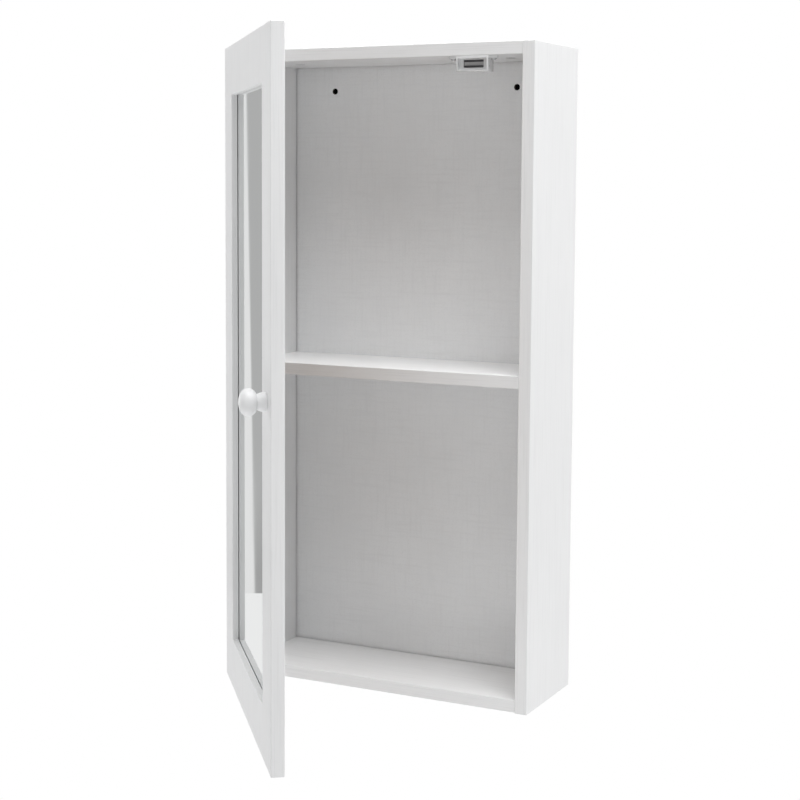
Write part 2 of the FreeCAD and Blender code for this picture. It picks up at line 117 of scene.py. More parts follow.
def softenEdges(piece, width, segments=2, degrees=35):
    pickOnly(piece)
    soft = piece.modifiers.new("soften", "BEVEL")
    soft.width = width
    soft.segments = segments
    soft.limit_method = "ANGLE"
    soft.angle_limit = math.radians(degrees)
    soft.harden_normals = False
    bpy.ops.object.modifier_apply(modifier=soft.name)


def carve(piece, tool, how="DIFFERENCE"):
    # cuts the tool out of the piece, or adds it, and throws the tool away
    pickOnly(piece)
    cut = piece.modifiers.new("carve", "BOOLEAN")
    cut.operation = how
    cut.solver = "EXACT"
    cut.object = tool
    bpy.ops.object.modifier_apply(modifier=cut.name)
    bpy.data.objects.remove(tool)


def addBox(name, low, high):
    low, high = Vector(low), Vector(high)
    bpy.ops.object.select_all(action="DESELECT")
    bpy.ops.mesh.primitive_cube_add(size=1, location=(low + high) / 2, scale=high - low)
    piece = bpy.context.object
    piece.name = name
    settle(piece)
    return piece


def addRod(name, radius, start, end, sides=32):
    start, end = Vector(start), Vector(end)
    along = end - start
    bpy.ops.object.select_all(action="DESELECT")
    bpy.ops.mesh.primitive_cylinder_add(vertices=sides, radius=radius, depth=along.length)
    piece = bpy.context.object
    piece.name = name
    turn = Vector((0, 0, 1)).rotation_difference(along).to_matrix().to_4x4()
    settle(piece, Matrix.Translation((start + end) / 2) @ turn)
    return piece


def turnOnLathe(name, outline, steps=32):
    # outline runs from the axis at one end to the axis at the other, as radius and height
    bpy.ops.object.select_all(action="DESELECT")
    bpy.ops.mesh.primitive_plane_add(size=mm)
    piece = bpy.context.object
    piece.name = name
    bpy.ops.object.mode_set(mode="EDIT")
    bpy.ops.mesh.select_mode(type="VERT")
    bpy.ops.mesh.select_all(action="SELECT")
    bpy.ops.mesh.merge(type="CENTER")
    bpy.ops.transform.translate(value=(outline[0][0], 0, outline[0][1]))
    for before, after in zip(outline, outline[1:]):
        step = (after[0] - before[0], 0, after[1] - before[1])
        bpy.ops.mesh.extrude_region_move(TRANSFORM_OT_translate={"value": step})
    bpy.ops.mesh.select_all(action="SELECT")
    bpy.ops.mesh.spin(steps=steps, angle=math.tau, center=(0, 0, 0), axis=(0, 0, 1))
    bpy.ops.mesh.select_all(action="SELECT")
    bpy.ops.mesh.remove_doubles(threshold=0.002 * mm)
    bpy.ops.mesh.normals_make_consistent(inside=False)
    stopEditing()
    return piece


def arcThrough(first, middle, last, steps):
    # points on the round from first to last by way of middle, without the first
    ax, ay = first
    bx, by = middle
    cx, cy = last
    spread = 2 * (ax * (by - cy) + bx * (cy - ay) + cx * (ay - by))
    a2, b2, c2 = ax * ax + ay * ay, bx * bx + by * by, cx * cx + cy * cy
    ux = (a2 * (by - cy) + b2 * (cy - ay) + c2 * (ay - by)) / spread
    uy = (a2 * (cx - bx) + b2 * (ax - cx) + c2 * (bx - ax)) / spread
    radius = math.hypot(ax - ux, ay - uy)
    start = math.atan2(ay - uy, ax - ux)
    sweep = (math.atan2(cy - uy, cx - ux) - start) % math.tau
    if (math.atan2(by - uy, bx - ux) - start) % math.tau > sweep:
        sweep -= math.tau
    turns = [start + sweep * step / steps for step in range(1, steps + 1)]
    return [(ux + radius * math.cos(turn), uy + radius * math.sin(turn)) for turn in turns]


def setOut(model, name, places):
    # one copy of the model, with its own mesh, at each place, all joined into one piece
    copies = []
    for place in places:
        twin = model.copy()
        twin.data = model.data.copy()
        bpy.context.collection.objects.link(twin)
        twin.matrix_world = place
        copies.append(twin)
    bpy.data.objects.remove(model)
    bpy.ops.object.select_all(action="DESELECT")
    for twin in copies:
        twin.select_set(True)
    bpy.context.view_layer.objects.active = copies[0]
    bpy.ops.object.transform_apply(location=True, rotation=True, scale=True)
    if len(copies) > 1:
        bpy.ops.object.join()
    piece = bpy.context.object
    piece.name = name
    return piece


def finishPiece(piece, body, slot, nodes, *materials):
    piece.data.name = piece.name
    if not piece.data.materials:
        for material in materials:
            piece.data.materials.append(material)
    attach(piece, body)
    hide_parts(*nodes)
    print("made", piece.name, len(piece.data.polygons), "faces")


# Where the frame's own solids lie

def boxOf(points):
    low = Vector([min(point[i] for point in points) for i in range(3)])
    high = Vector([max(point[i] for point in points) for i in range(3)])
    return low, high


def nodeBox(node, turn=stayPut):
    return boxOf([turn @ point.co for point in frame["nodes"][node].data.vertices])


def solidBoxes(node, turn=stayPut):
    # the box of each separate solid in a node, from low to high and from left to right
    copy = bmesh.new()
    copy.from_mesh(frame["nodes"][node].data)
    bmesh.ops.remove_doubles(copy, verts=copy.verts, dist=0.001 * mm)
    left = set(copy.verts)
    boxes = []
    while left:
        reached = [left.pop()]
        for point in reached:
            for edge in point.link_edges:
                other = edge.other_vert(point)
                if other in left:
                    left.remove(other)
                    reached.append(other)
        boxes.append(boxOf([turn @ point.co for point in reached]))
    copy.free()
    return sorted(boxes, key=lambda box: (round(box[0].z, 4), round(box[0].x, 4), round(box[0].y, 4)))


def facing(direction, place, spin=0.0):
    # stands a model made along +Z at a place, looking along direction
    turn = Vector((0, 0, 1)).rotation_difference(Vector(direction)).to_matrix().to_4x4()
    return Matrix.Translation(place) @ turn @ Matrix.Rotation(spin, 4, "Z")


# Finishes

def newFinish(name, roughness, metallic=0.0):
    finish = bpy.data.materials.new(name)
    finish.use_nodes = True
    tree = finish.node_tree
    shader = tree.nodes["Principled BSDF"]
    shader.inputs["Roughness"].default_value = roughness
    shader.inputs["Metallic"].default_value = metallic
    place = tree.nodes.new("ShaderNodeTexCoord").outputs["Object"]
    return finish, tree, shader, place


def addNoise(tree, place, scale, detail=2.0, stretch=None):
    if stretch:
        drawn = tree.nodes.new("ShaderNodeMapping")
        drawn.inputs["Scale"].default_value = stretch
        tree.links.new(place, drawn.inputs["Vector"])
        place = drawn.outputs["Vector"]
    noise = tree.nodes.new("ShaderNodeTexNoise")
    noise.inputs["Scale"].default_value = scale
    noise.inputs["Detail"].default_value = detail
    tree.links.new(place, noise.inputs["Vector"])
    return noise.outputs["Fac"]


def addRange(tree, value, low, high, fromLow=0.3, fromHigh=0.7):
    spread = tree.nodes.new("ShaderNodeMapRange")
    spread.inputs["From Min"].default_value = fromLow
    spread.inputs["From Max"].default_value = fromHigh
    spread.inputs["To Min"].default_value = low
    spread.inputs["To Max"].default_value = high
    tree.links.new(value, spread.inputs["Value"])
    return spread.outputs["Result"]


def addBlend(tree, share, first, second):
    # first and second are colours or sockets
    blend = tree.nodes.new("ShaderNodeMix")
    blend.data_type = "RGBA"
    tree.links.new(share, blend.inputs["Factor"])
    for socket, colour in ((blend.inputs[6], first), (blend.inputs[7], second)):
        if isinstance(colour, bpy.types.NodeSocket):
            tree.links.new(colour, socket)
        else:
            socket.default_value = (*colour, 1)
    return blend.outputs[2]


def addBump(tree, shader, height, depth, strength, under=None):
    bump = tree.nodes.new("ShaderNodeBump")
    bump.inputs["Distance"].default_value = depth
    bump.inputs["Strength"].default_value = strength
    tree.links.new(height, bump.inputs["Height"])
    if under:
        tree.links.new(under, bump.inputs["Normal"])
    tree.links.new(bump.outputs["Normal"], shader.inputs["Normal"])
    return bump.outputs["Normal"]


def addArris(tree, reach, low=0.02, high=0.25):
    # 1 along the sharp edges of a piece, 0 on its faces
    rounded = tree.nodes.new("ShaderNodeBevel")
    rounded.samples = 4
    rounded.inputs["Radius"].default_value = reach
    surface = tree.nodes.new("ShaderNodeNewGeometry")
    dot = tree.nodes.new("ShaderNodeVectorMath")
    dot.operation = "DOT_PRODUCT"
    tree.links.new(rounded.outputs["Normal"], dot.inputs[0])
    tree.links.new(surface.outputs["Normal"], dot.inputs[1])
    return addRange(tree, dot.outputs["Value"], 1, 0, 1 - high, 1 - low)


def ownBox(node):
    return boxOf([Vector(corner) for corner in frame["nodes"][node].bound_box])


def addCoreShadeMask(tree, place, node, skin):
    # 1 in the bores and grooves of a board, 0 on its outer faces; it marks where painted shade darkens the raw
    # board
    low, high = ownBox(node)

    def combine(how, first, second):
        step = tree.nodes.new("ShaderNodeVectorMath")
        step.operation = how
        for socket, value in zip(step.inputs, (first, second)):
            if isinstance(value, bpy.types.NodeSocket):
                tree.links.new(value, socket)
            else:
                socket.default_value = value
        return step.outputs["Vector"]

    def smaller(first, second):
        step = tree.nodes.new("ShaderNodeMath")
        step.operation = "MINIMUM"
        tree.links.new(first, step.inputs[0])
        tree.links.new(second, step.inputs[1])
        return step.outputs[0]

    inward = combine("MINIMUM", combine("SUBTRACT", place, low), combine("SUBTRACT", high, place))
    parts = tree.nodes.new("ShaderNodeSeparateXYZ")
    tree.links.new(inward, parts.inputs[0])
    least = smaller(smaller(parts.outputs["X"], parts.outputs["Y"]), parts.outputs["Z"])
    return addRange(tree, least, 0, 1, skin, 1.2 * skin)


foilLook = {
    "colour": (0.836, 0.839, 0.843),
    "shade": (0.811, 0.814, 0.818),
    "streak": (0.761, 0.764, 0.768),
    "streaks": 650.0,
    "alongGrain": 0.02,        # how much the streaks are drawn out along a board
    # lighter along the arrises: partly rubbed wear, partly painted highlight
    "rubbedAndHighlit": (0.88, 0.881, 0.882),
    "rawCoreWithPaintedShade": (0.075, 0.062, 0.05),       # raw board in the bores and grooves, darkened near black as painted shade
    "skin": 0.25 * mm,
    "cloud": 7.0,
    "peel": 1400.0,
    "peelDepth": 0.02 * mm,
    "ripple": 210.0,
    "rippleDepth": 0.05 * mm,
    "roughness": (0.34, 0.46),
    "arris": 0.7 * mm,
    "coat": (0.08, 0.3),       # weight and roughness
}


def makeFoil(name, grain, board=None):
    # satin white film on board: faint clouds and grain, a fine orange peel, arrises blended lighter for rubbed
    # wear and painted highlight, and on a board, painted shade darkening the raw board in its bores and grooves
    look = foilLook
    foil, tree, shader, place = newFinish(name, 0.4)
    clouds = addNoise(tree, place, look["cloud"], 3)
    faces = addBlend(tree, addRange(tree, clouds, 0, 1), look["colour"], look["shade"])
    stretch = [look["alongGrain"] if axis == grain else 1.0 for axis in "XYZ"]
    streaks = addNoise(tree, place, look["streaks"], 4, stretch)
    faces = addBlend(tree, addRange(tree, streaks, 0, 0.8, 0.5, 0.72), faces, look["streak"])
    # painted highlight and wear: the arrises are blended towards a lighter tone
    arris = addArris(tree, look["arris"])
    tone = addBlend(tree, arris, faces, look["rubbedAndHighlit"])
    if board:
        # painted shade: the raw board in the bores and grooves is darkened near black
        tone = addBlend(tree, addCoreShadeMask(tree, place, board, look["skin"]), tone, look["rawCoreWithPaintedShade"])
    tree.links.new(tone, shader.inputs["Base Color"])
    smudge = addNoise(tree, place, look["cloud"] * 6, 4)
    tree.links.new(addRange(tree, smudge, *look["roughness"]), shader.inputs["Roughness"])
    ripple = addBump(tree, shader, addNoise(tree, place, look["ripple"], 2), look["rippleDepth"], 0.6)
    addBump(tree, shader, addNoise(tree, place, look["peel"], 2), look["peelDepth"], 0.7, ripple)
    shader.inputs["Coat Weight"].default_value, shader.inputs["Coat Roughness"].default_value = look["coat"]
    return foil


hardboardLook = {
    "colour": (0.93, 0.945, 0.957),
    "speck": (0.855, 0.868, 0.88),
    "cloudShare": 0.94,        # the clouds' tone, as a share of the colour
    "rawCoreWithPaintedShade": (0.03, 0.022, 0.017),      # raw edge inside the screw holes, darkened near black as painted shade
    "skin": 0.3 * mm,
    "grain": 800.0,
    "weave": 380.0,
    "threads": ((1, 1, 0.06), (0.06, 1, 1)),       # drawn out up the board and across it
    "cloud": 14.0,
    "roughness": (0.6, 0.78),
    "depth": 0.06 * mm,
}

fibreLook = {
    "brown": (0.17, 0.098, 0.052),
    "pale": (0.265, 0.165, 0.09),
    "cloudTone": (0.13, 0.075, 0.042),
    "fibre": 240,
    "drawnOut": (1, 1, 0.25),
    "cloud": 18,
    "roughness": (0.5, 0.72),
    "depth": 0.06 * mm,
}


def addBrownFibres(tree, place):
    # smooth side of raw hardboard: fine fibres under darker clouds
    look = fibreLook
    fibres = addNoise(tree, place, look["fibre"], 5, look["drawnOut"])
    clouds = addNoise(tree, place, look["cloud"], 4)
    base = addBlend(tree, addRange(tree, fibres, 0, 1), look["brown"], look["pale"])
    return fibres, clouds, addBlend(tree, addRange(tree, clouds, 0, 0.5), base, look["cloudTone"])


def makePaintedHardboard():
    # thin hardboard, painted matt and pebbly in front and raw behind, with painted shade darkening the raw edge in
    # the screw holes
    look = hardboardLook
    board, tree, shader, place = newFinish("paintedHardboard", 0.7)
    grain = addNoise(tree, place, look["grain"], 4)
    clouds = addNoise(tree, place, look["cloud"], 4)
    fleck = addBlend(tree, addRange(tree, grain, 0, 1, 0.5, 0.8), look["colour"], look["speck"])
    for drawnOut in look["threads"]:
        threads = addNoise(tree, place, look["weave"], 3, drawnOut)
        fleck = addBlend(tree, addRange(tree, threads, 0, 0.55, 0.5, 0.72), fleck, look["speck"])
    dim = [look["cloudShare"] * part for part in look["colour"]]
    mottle = addBlend(tree, addRange(tree, clouds, 0, 0.55), fleck, dim)
    # painted shade: the raw edge inside the screw holes is darkened near black
    mottle = addBlend(tree, addCoreShadeMask(tree, place, "back_panel", look["skin"]), mottle, look["rawCoreWithPaintedShade"])
    axes = tree.nodes.new("ShaderNodeSeparateXYZ")
    tree.links.new(place, axes.inputs[0])
    rear = ownBox("back_panel")[1].y
    behind = addRange(tree, axes.outputs["Y"], 0, 1, rear - look["skin"], rear - 0.8 * look["skin"])
    tone = addBlend(tree, behind, mottle, addBrownFibres(tree, place)[2])
    tree.links.new(tone, shader.inputs["Base Color"])
    tree.links.new(addRange(tree, clouds, *look["roughness"]), shader.inputs["Roughness"])
    addBump(tree, shader, grain, look["depth"], 0.8)
    return board


def makeBrownHardboard():
    look = fibreLook
    board, tree, shader, place = newFinish("brownHardboard", 0.62)
    fibres, clouds, tone = addBrownFibres(tree, place)
    tree.links.new(tone, shader.inputs["Base Color"])
    tree.links.new(addRange(tree, clouds, *look["roughness"]), shader.inputs["Roughness"])
    addBump(tree, shader, fibres, look["depth"], 0.8)
    return board


silverLook = {
    "bright": (0.87, 0.885, 0.88),
    "dull": (0.85, 0.867, 0.864),
    "haze": 9,
    "roughness": (0.004, 0.022),
}


def makeSilvering():
    # the mirror's face: bright, with the faintest haze
    look = silverLook
    silver, tree, shader, place = newFinish("silvering", 0.02, 1.0)
    haze = addNoise(tree, place, look["haze"], 3)
    tree.links.new(addRange(tree, haze, *look["roughness"]), shader.inputs["Roughness"])
    tint = addBlend(tree, addRange(tree, haze, 0, 1), look["bright"], look["dull"])
    tree.links.new(tint, shader.inputs["Base Color"])
    return silver


groundEdgeLook = {
    "dark": (0.36, 0.47, 0.44),
    "pale": (0.52, 0.62, 0.59),
    "grind": 2600,
    "drawnOut": (1, 0.2, 1),
    "roughness": (0.22, 0.45),
    "depth": 0.02 * mm,
}


def makeGroundEdge():
    # seamed glass edge, grey green and finely scratched
    look = groundEdgeLook
    edge, tree, shader, place = newFinish("groundGlassEdge", 0.3)
    grind = addNoise(tree, place, look["grind"], 3, look["drawnOut"])
    tint = addBlend(tree, addRange(tree, grind, 0, 1), look["dark"], look["pale"])
    tree.links.new(tint, shader.inputs["Base Color"])
    tree.links.new(addRange(tree, grind, *look["roughness"]), shader.inputs["Roughness"])
    addBump(tree, shader, grind, look["depth"], 0.5)
    return edge


mirrorPaintLook = {
    "dark": (0.17, 0.18, 0.19),
    "pale": (0.21, 0.22, 0.23),
    "roller": 160,
    "depth": 0.03 * mm,
}


def makeMirrorPaint():
    # grey lacquer over the silver on the mirror's back
    look = mirrorPaintLook
    paint, tree, shader, place = newFinish("mirrorBackPaint", 0.4)
    roller = addNoise(tree, place, look["roller"], 4)
    tint = addBlend(tree, addRange(tree, roller, 0, 1), look["dark"], look["pale"])
    tree.links.new(tint, shader.inputs["Base Color"])
    addBump(tree, shader, roller, look["depth"], 0.6)
    return paint


metalLooks = {
    "satinNickel": {
        "bright": (0.66, 0.64, 0.60),
        "dull": (0.58, 0.56, 0.53),
        "roughness": (0.2, 0.34),
        "grain": 900,
        "drawnOut": (1, 1, 0.2),
        "depth": 0.012 * mm,
        "arris": 0.3 * mm,
    },
    "zincPlate": {
        "bright": (0.62, 0.63, 0.64),
        "dull": (0.5, 0.51, 0.53),
        "roughness": (0.25, 0.42),
        "grain": 1100,
        "drawnOut": None,
        "depth": 0.015 * mm,
        "arris": 0.15 * mm,
    },
    "dieCastZinc": {
        "bright": (0.5, 0.5, 0.51),
        "dull": (0.4, 0.4, 0.415),
        "roughness": (0.38, 0.55),
        "grain": 700,
        "drawnOut": None,
        "depth": 0.04 * mm,
        "arris": 0.3 * mm,
    },
    # dark steel, made darker still as painted shade for the catch's dark slots
    "poleSteelWithPaintedShade": {
        "bright": (0.13, 0.13, 0.135),
        "dull": (0.08, 0.08, 0.085),
        "roughness": (0.35, 0.5),
        "grain": 800,
        "drawnOut": None,
        "depth": 0.02 * mm,
        "arris": 0.2 * mm,
    },
}


def makeMetal(name):
    # plated or bare metal: cloudy tone, fine marks and rubbed edges
    look = metalLooks[name]
    metal, tree, shader, place = newFinish(name, look["roughness"][0], 1.0)
    marks = addNoise(tree, place, look["grain"], 4, look["drawnOut"])
    clouds = addNoise(tree, place, look["grain"] / 9, 3)
    tone = addBlend(tree, addRange(tree, clouds, 0, 1), look["bright"], look["dull"])
    rubbed = [min(1.0, 1.15 * part) for part in look["bright"]]
    tone = addBlend(tree, addArris(tree, look["arris"]), tone, rubbed)
    tree.links.new(tone, shader.inputs["Base Color"])
    tree.links.new(addRange(tree, marks, *look["roughness"]), shader.inputs["Roughness"])
    addBump(tree, shader, marks, look["depth"], 0.6)
    return metal


lacquerLook = {
    "pale": (0.83, 0.835, 0.84),
    "shade": (0.805, 0.81, 0.815),
    "cloud": 55,
    "smudge": 240,
    "roughness": (0.42, 0.52),
    "peel": 900,
    "peelDepth": 0.018 * mm,
    "coat": (0.06, 0.35),      # weight and roughness
}


def makeLacquer():
    # white satin lacquer on the turned knob, with a faint orange peel
    look = lacquerLook
    lacquer, tree, shader, place = newFinish("knobLacquer", 0.45)
    clouds = addNoise(tree, place, look["cloud"], 3)
    tint = addBlend(tree, addRange(tree, clouds, 0, 1), look["pale"], look["shade"])
    tree.links.new(tint, shader.inputs["Base Color"])
    smudge = addNoise(tree, place, look["smudge"], 3)
    tree.links.new(addRange(tree, smudge, *look["roughness"]), shader.inputs["Roughness"])
    addBump(tree, shader, addNoise(tree, place, look["peel"], 2), look["peelDepth"], 0.5)
    shader.inputs["Coat Weight"].default_value, shader.inputs["Coat Roughness"].default_value = look["coat"]
    return lacquer


plasticLooks = {
    "catchPlastic": {
        "bright": (0.71, 0.715, 0.72),
        "shade": (0.68, 0.685, 0.69),
        "roughness": (0.25, 0.36),
        "grain": 1500,
        "depth": 0.015 * mm,
    },
    "clipPlastic": {
        "bright": (0.78, 0.78, 0.77),
        "shade": (0.74, 0.74, 0.735),
        "roughness": (0.42, 0.55),
        "grain": 1500,
        "depth": 0.03 * mm,
    },
}


def makePlastic(name):
    # moulded plastic with a spark-eroded grain and faint clouds
    look = plasticLooks[name]
    plastic, tree, shader, place = newFinish(name, look["roughness"][0])
    clouds = addNoise(tree, place, look["grain"] / 18, 3)
    tint = addBlend(tree, addRange(tree, clouds, 0, 1), look["bright"], look["shade"])
    tree.links.new(tint, shader.inputs["Base Color"])
    tree.links.new(addRange(tree, clouds, *look["roughness"]), shader.inputs["Roughness"])
    addBump(tree, shader, addNoise(tree, place, look["grain"], 3), look["depth"], 0.6)
    return plastic


beechLook = {
    "brown": (0.56, 0.37, 0.205),
    "pale": (0.67, 0.47, 0.28),
    "ray": (0.4, 0.24, 0.12),
    "grain": (900, (0.08, 1, 1)),      # size, and how it is drawn out along the dowel
    "rays": (1500, (0.3, 1, 1)),
    "roughness": (0.5, 0.7),
    "depth": 0.05 * mm,
}


def makeBeech():
    # beech along X, with short darker rays
    look = beechLook
    beech, tree, shader, place = newFinish("beech", 0.6)
    grainSize, grainDrawn = look["grain"]
    raySize, rayDrawn = look["rays"]
    grain = addNoise(tree, place, grainSize, 4, grainDrawn)
    rays = addNoise(tree, place, raySize, 2, rayDrawn)
    base = addBlend(tree, addRange(tree, grain, 0, 1), look["brown"], look["pale"])
    tone = addBlend(tree, addRange(tree, rays, 0, 0.8, 0.6, 0.75), base, look["ray"])
    tree.links.new(tone, shader.inputs["Base Color"])
    tree.links.new(addRange(tree, grain, *look["roughness"]), shader.inputs["Roughness"])
    addBump(tree, shader, grain, look["depth"], 0.7)
    return beech


ferriteLook = {
    "dark": (0.42, 0.42, 0.425),
    "pale": (0.5, 0.5, 0.505),
    "pore": 1300,
    "roughness": (0.4, 0.65),
    "depth": 0.04 * mm,
}


def makeFerrite():
    # ferrite block in a light grey coating, slightly porous
    look = ferriteLook
    ferrite, tree, shader, place = newFinish("ferrite", 0.5)
    pores = addNoise(tree, place, look["pore"], 5)
    tint = addBlend(tree, addRange(tree, pores, 0, 1), look["dark"], look["pale"])
    tree.links.new(tint, shader.inputs["Base Color"])
    tree.links.new(addRange(tree, pores, *look["roughness"]), shader.inputs["Roughness"])
    addBump(tree, shader, pores, look["depth"], 0.8)
    return ferrite


doorFoil = makeFoil("doorFoil", "Z")
paintedHardboard = makePaintedHardboard()
brownHardboard = makeBrownHardboard()
silvering = makeSilvering()
groundEdge = makeGroundEdge()
mirrorPaint = makeMirrorPaint()
nickel = makeMetal("satinNickel")
zincPlate = makeMetal("zincPlate")
dieCast = makeMetal("dieCastZinc")
poleSteelWithPaintedShade = makeMetal("poleSteelWithPaintedShade")
knobLacquer = makeLacquer()
catchPlastic = makePlastic("catchPlastic")
clipPlastic = makePlastic("clipPlastic")
beech = makeBeech()
ferrite = makeFerrite()
print("finishes ready")


def dress(finish, *nodes):
    for node in nodes:
        for holder in frame["nodes"][node].material_slots:
            holder.material = finish


dress(doorFoil, "door_frame")
for board in ("left_side_panel", "right_side_panel"):
    dress(makeFoil("foil_" + board, "Z", board), board)
for board in ("top_panel", "bottom_panel", "shelf"):
    dress(makeFoil("foil_" + board, "X", board), board)
dress(paintedHardboard, "back_panel")
dress(brownHardboard, "mirror_backing")
dress(nickel, "upper_hinge_cabinet_leaf", "lower_hinge_cabinet_leaf", "upper_hinge_pin", "lower_hinge_pin")
dress(nickel, "upper_hinge_door_leaf", "lower_hinge_door_leaf", "strike_plate")


# Screws

screwShape = {
    "recessLength": 1.2,      # shares of the head's radius
    "recessWidth": 0.34,
    "recessDepth": 0.36,
    "recessTaper": 0.5,
    "threadDepth": 0.2,       # share of the shank's radius
    "threadCrest": (0.45, 0.55),      # its start and end, as shares of the pitch
    "sunkRim": 0.05,          # share of the head's height
    "crown": 0.35,            # a round head's outline, as shares of its radius and height
    "shoulder": (0.86, 0.72),
    "side": 0.3,
    "underHead": 0.6 * mm,    # plain shank under a round head
    "runOut": 0.4 * mm,
    "tip": 2.2 * mm,
    "tipShare": 0.8,
    "steps": 24,
    "turns": (0.7, 2.4),      # how far the first recess is turned, and each one after it
}


def threadRings(radius, start, end, pitch):
    # root and crest points of a thread between two heights
    root = radius * (1 - screwShape["threadDepth"])
    crestStart, crestEnd = screwShape["threadCrest"]
    rings = []
    for turn in range(int((end - start) / pitch)):
        foot = start + turn * pitch
        rings += [(root, foot), (radius, foot + crestStart * pitch), (radius, foot + crestEnd * pitch)]
    return rings


def cutCrossRecess(screw, radius, top):
    shape = screwShape
    half = radius * shape["recessLength"] / 2
    width = radius * shape["recessWidth"] / 2
    depth = radius * shape["recessDepth"]
    for turn in (0, math.pi / 2):
        arm = addBox("recessArm", (-half, -width, top - depth), (half, width, top + depth))
        editFaces(arm, lambda middle, normal: normal.z > 0.9)
        taper = shape["recessTaper"]
        bpy.ops.transform.resize(value=(taper, taper, 1), center_override=(0, 0, 0))
        stopEditing()
        settle(arm, Matrix.Rotation(turn, 4, "Z"))
        carve(screw, arm)


def makeScrew(name, headRadius, headHeight, shankRadius, length, pitch, sunk):
    # the seat is at the origin and the shank runs up +Z
    shape = screwShape
    if sunk:
        rim = shape["sunkRim"] * headHeight
        head = [(0, 0), (headRadius - rim, 0), (headRadius, rim), (headRadius, 2 * rim)]
        head.append((shankRadius, headHeight))
        top, threadStart = 0, headHeight
    else:
        crown = (shape["crown"] * headRadius, -headHeight)
        shoulder = (shape["shoulder"][0] * headRadius, -shape["shoulder"][1] * headHeight)
        side = (headRadius, -shape["side"] * headHeight)
        dome = arcThrough(crown, shoulder, side, 5)
        head = [(0, -headHeight), crown, *dome, (headRadius, 0), (shankRadius, 0)]
        top, threadStart = -headHeight, shape["underHead"]
    tipStart = length - shape["tip"]
    thread = threadRings(shankRadius, threadStart + shape["runOut"], tipStart, pitch)
    tip = [(shankRadius * shape["tipShare"], tipStart), (0.2 * mm, length - 0.1 * mm), (0, length)]
    outline = head + thread + tip
    screw = turnOnLathe(name, outline, shape["steps"])
    cutCrossRecess(screw, headRadius, top)
    smoothOver(screw, 30)
    return screw


def driveScrews(name, node, body, turn, along, sizes, sunk):
    # each screw of a node, driven along its own line from where its head sits
    headRadius, headHeight, shankRadius, length, pitch = [size * mm for size in sizes]
    along = Vector(along)
    firstTurn, nextTurn = screwShape["turns"]
    places = []
    for number, (low, high) in enumerate(solidBoxes(node, turn.inverted())):
        middle = (low + high) / 2
        reach = (high - low).dot(along)
        seat = middle - along * (abs(reach) / 2 - (0 if sunk else headHeight))
        places.append(turn @ facing(along, seat, firstTurn + nextTurn * number))
    model = makeScrew(name, headRadius, headHeight, shankRadius, length, pitch, sunk)
    screws = setOut(model, name, places)
    finishPiece(screws, body, "screw_steel", (node,), zincPlate)


hingeScrewSizes = (2.4, 1.0, 1.4, 9.0, 1.1)       # head radius and height, shank radius, length, pitch
clipScrewSizes = (2.6, 1.2, 1.4, 8.0, 1.1)
catchScrewSizes = (2.7, 1.7, 1.4, 10.6, 1.2)
strikeScrewSizes = (2.4, 1.1, 1.4, 8.0, 1.1)
knobScrewSizes = (4.0, 1.8, 2.0, 22.0, 0.7)

screwSets = (
    # piece, node, body, turn, way the screws run, sizes, sunk
    ("hingeCabinetScrews", "hinge_cabinet_screws", "cabinet", stayPut, (0, 1, 0), hingeScrewSizes, True),
    ("hingeDoorScrews", "hinge_door_screws", "door", swingOut, (0, -1, 0), hingeScrewSizes, True),
    ("catchScrews", "catch_screws", "cabinet", stayPut, (0, 0, 1), catchScrewSizes, False),
    ("mirrorClipScrews", "mirror_clip_screws", "door", swingOut, (0, -1, 0), clipScrewSizes, False),
    ("strikeScrew", "strike_screw", "door", swingOut, (0, -1, 0), strikeScrewSizes, True),
    ("knobScrew", "knob_screw", "door", swingOut, (0, -1, 0), knobScrewSizes, False),
)
for screwSet in screwSets:
    driveScrews(*screwSet)


# Cams, bolts and dowels in the boards

camShape = {
    "chamfer": 0.5 * mm,
    "dish": 0.35 * mm,         # how far the face lies below its rim
    "rim": 0.8 * mm,
    "armLength": 6.4 * mm,
    "armWidth": 1.2 * mm,
    "armDepth": 1.9 * mm,
    "armTaper": 0.8,
    "socketRadius": 3.1 * mm,
    "socketHeight": 6.05 * mm,
    "socketEnd": 3.0 * mm,
}


def makeCamDiscs():
    shape = camShape
    boxes = solidBoxes("cam_discs")
    low, high = boxes[0]
    radius, height = (high.x - low.x) / 2, high.z - low.z
    chamfer, rim, dish = shape["chamfer"], shape["rim"], shape["dish"]
    outline = [
        (0, dish),
        (radius - chamfer - rim - dish / 2, dish),
        (radius - chamfer - rim, 0),
        (radius - chamfer, 0),
        (radius, chamfer),
        (radius, height - chamfer),
        (radius - chamfer, height),
        (0, height),
    ]
    disc = turnOnLathe("camDiscs", outline, 48)
    for sizeX, sizeY in ((shape["armLength"], shape["armWidth"]), (shape["armWidth"], shape["armLength"])):
        arm = addBox("camArm", (-sizeX / 2, -sizeY / 2, -mm), (sizeX / 2, sizeY / 2, shape["armDepth"]))
        editFaces(arm, lambda middle, normal: normal.z > 0.9)
        taper = shape["armTaper"]
        bpy.ops.transform.resize(value=(taper, taper, 1), center_override=(0, 0, 0))
        stopEditing()
        carve(disc, arm)
    level = shape["socketHeight"]
    outside, inside = (-2 * radius, 0, level), (shape["socketEnd"], 0, level)
    socket = addRod("camSocket", shape["socketRadius"], outside, inside)
    carve(disc, socket)
    smoothOver(disc, 28)
    places = []
    for low, high in boxes:
        middle = (low + high) / 2
        turn = Matrix.Rotation(math.pi if middle.x > 0 else 0, 4, "Z")
        places.append(Matrix.Translation((middle.x, middle.y, low.z)) @ turn)
    finishPiece(setOut(disc, "camDiscs", places), "cabinet", "cam_zinc", ("cam_discs",), dieCast)


